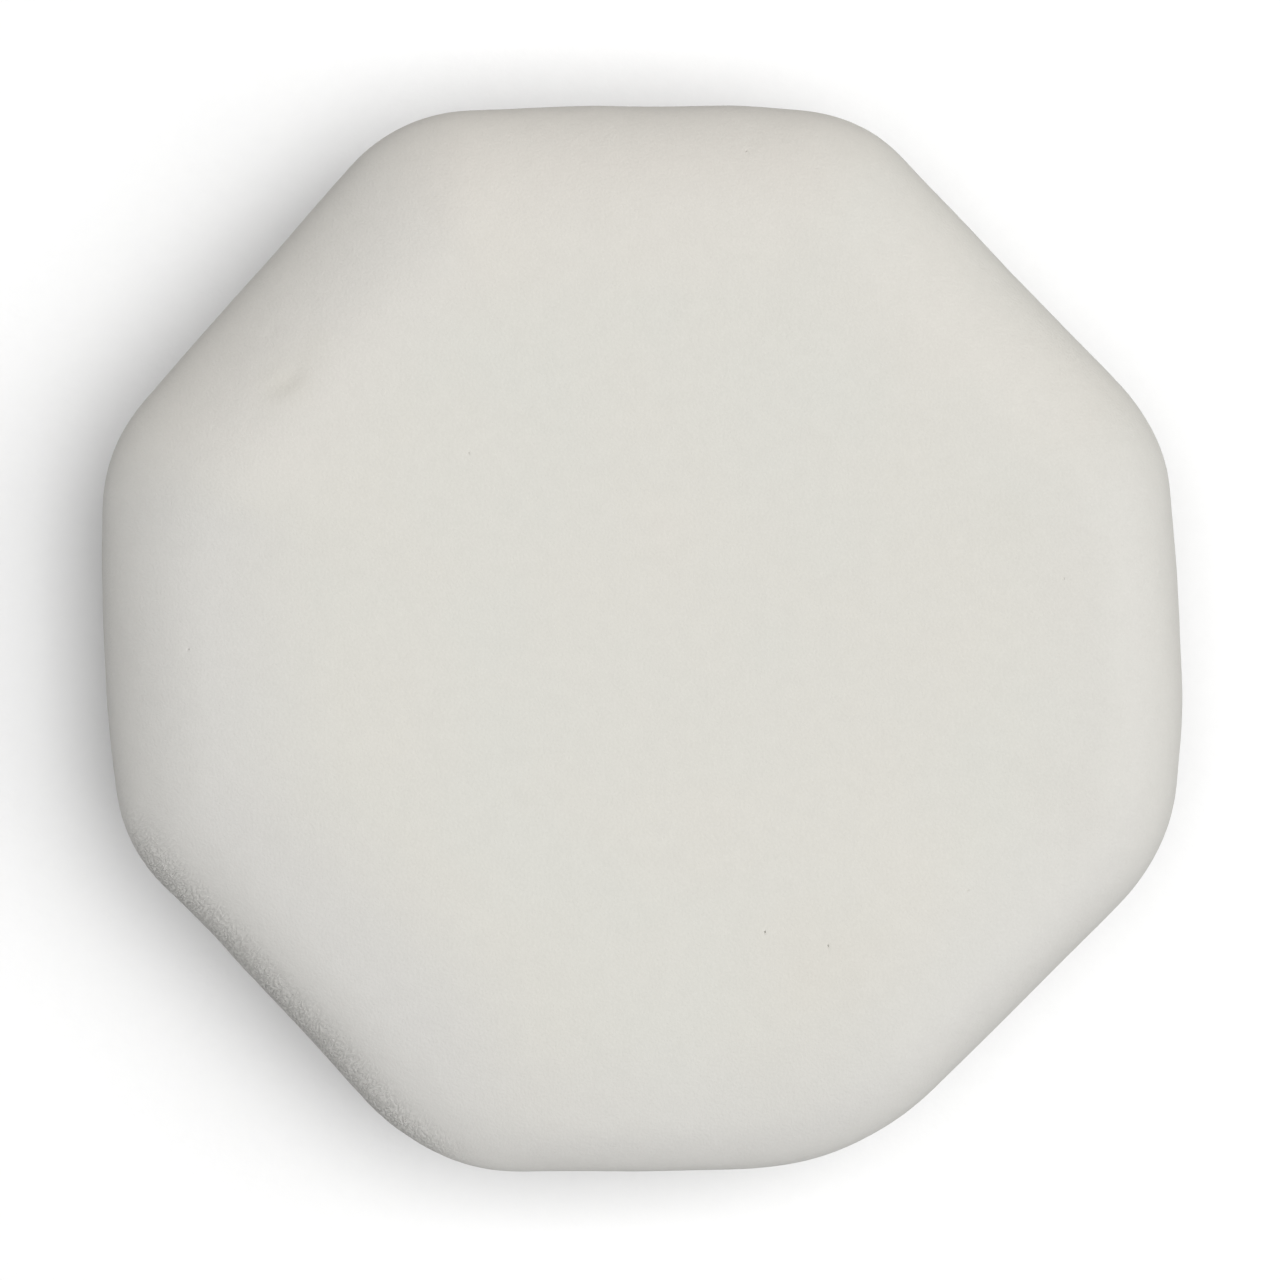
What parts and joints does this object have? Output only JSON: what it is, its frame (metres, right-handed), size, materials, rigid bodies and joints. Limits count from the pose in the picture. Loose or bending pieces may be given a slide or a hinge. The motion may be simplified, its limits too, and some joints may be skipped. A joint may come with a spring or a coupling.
{
  "type": "nail buffer block",
  "caption": "Cushioned octagonal nail buffer block: a soft foam core faced on both sides with fine grit on a cloth backing, wrapped over rounded shoulders.",
  "frame": {"origin": "centre of the block's outline, on the back working face, which the block lies on", "axes": "+Z out of the front working face; +X across the wider pair of opposite sides; +Y across the other pair"},
  "size_m": [0.0598, 0.0592, 0.02],
  "materials": {
    "front_grit": "matte",
    "back_grit": "matte",
    "backing_cloth": "matte",
    "adhesive": "satin",
    "soft_foam": "matte",
    "firm_foam": "matte"
  },
  "bodies": {
    "root": {"front_grit_coat": "front_grit", "front_backing_cloth": "backing_cloth", "front_adhesive_film": "adhesive", "front_soft_foam": "soft_foam", "centre_glue_film": "adhesive", "back_firm_foam": "firm_foam", "back_adhesive_film": "adhesive", "back_backing_cloth": "backing_cloth", "back_grit_coat": "back_grit"}
  },
  "joints": []
}
